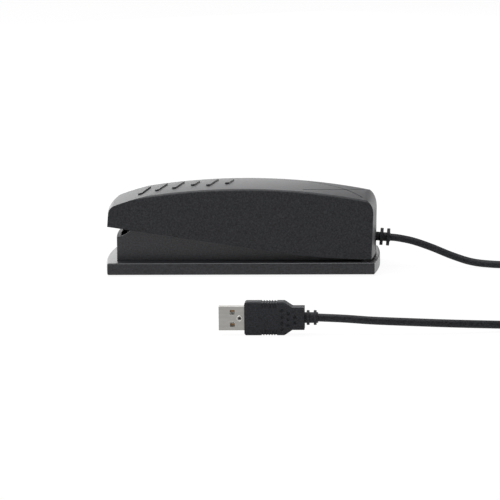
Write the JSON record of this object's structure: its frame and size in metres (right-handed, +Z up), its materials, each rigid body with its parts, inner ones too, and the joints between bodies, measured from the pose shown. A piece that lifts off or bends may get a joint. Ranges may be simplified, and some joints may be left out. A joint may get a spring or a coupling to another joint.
{
  "type": "usb foot pedal switch",
  "caption": "Foot pedal switch with a rocking curved pedal over a base plate, a return spring and lever microswitch inside, and a lead that ends in a flat computer plug.",
  "frame": {"origin": "on the floor under the middle of the base plate", "axes": "+X toward the cord end, -Y toward the viewer of the picture, +Z up"},
  "size_m": [0.2898, 0.256, 0.0478],
  "materials": {
    "plate_plastic": "fine matt grain",
    "housing_plastic": "fine matt grain",
    "pedal_plastic": "fine matt grain",
    "grip_plastic": "satin",
    "rubber": "matt",
    "steel": "plated",
    "spring_steel": "bright wire",
    "switch_plastic": "satin",
    "plunger_plastic": "satin",
    "brass": "plated",
    "red_wire": "insulation",
    "blue_wire": "insulation",
    "board_green": "solder mask",
    "chip_black": "moulded",
    "part_tan": "ceramic and tin",
    "cord_black": "soft jacket",
    "tie_black": "strap",
    "shell_metal": "plated sheet",
    "tongue_plastic": "moulded"
  },
  "bodies": {
    "base": {"base_plate": "plate_plastic", "rubber_feet": "rubber", "base_screws": "steel", "base_housing": "housing_plastic", "hinge_pins": "steel", "return_spring": "spring_steel", "switch_body": "switch_plastic", "switch_terminals": "brass", "switch_screws": "steel", "switch_wires": "red_wire", "circuit_board": "board_green", "controller_chip": "chip_black", "board_parts": "part_tan", "board_screws": "steel", "cord_tail": "cord_black", "cord_wires": "blue_wire", "strain_relief": "cord_black", "cord_run": "cord_black", "cord_coil": "cord_black", "cord_tie": "tie_black", "plug_run": "cord_black", "plug_overmould": "grip_plastic", "plug_shell": "shell_metal", "plug_tongue": "tongue_plastic", "plug_contacts": "brass"},
    "pedal": {"pedal_cover": "pedal_plastic"},
    "lever": {"switch_lever": "steel"},
    "plunger": {"switch_plunger": "plunger_plastic"}
  },
  "joints": [
    {"name": "pedal_hinge", "type": "hinge", "parent": "base", "child": "pedal", "pos_m": [0.058, 0, 0.015], "axis": [0, -1, 0], "range_deg": [0, 5.5], "stiffness_Nm_per_rad": 3, "springref_deg": -8.59, "deforming": ["return_spring"]},
    {"name": "lever_hinge", "type": "hinge", "parent": "base", "child": "lever", "pos_m": [0.0435, 0, 0.0257], "axis": [0, -1, 0], "range_deg": [0, 10.6]},
    {"name": "plunger_slide", "type": "slide", "parent": "base", "child": "plunger", "axis": [0, 0, -1], "range_m": [0, 0.00122]}
  ],
  "couplings": [
    {"joint": "lever_hinge", "follows": "pedal_hinge", "ratio": 1.927},
    {"joint": "plunger_slide", "follows": "pedal_hinge", "m_per_rad": 0.0127}
  ]
}
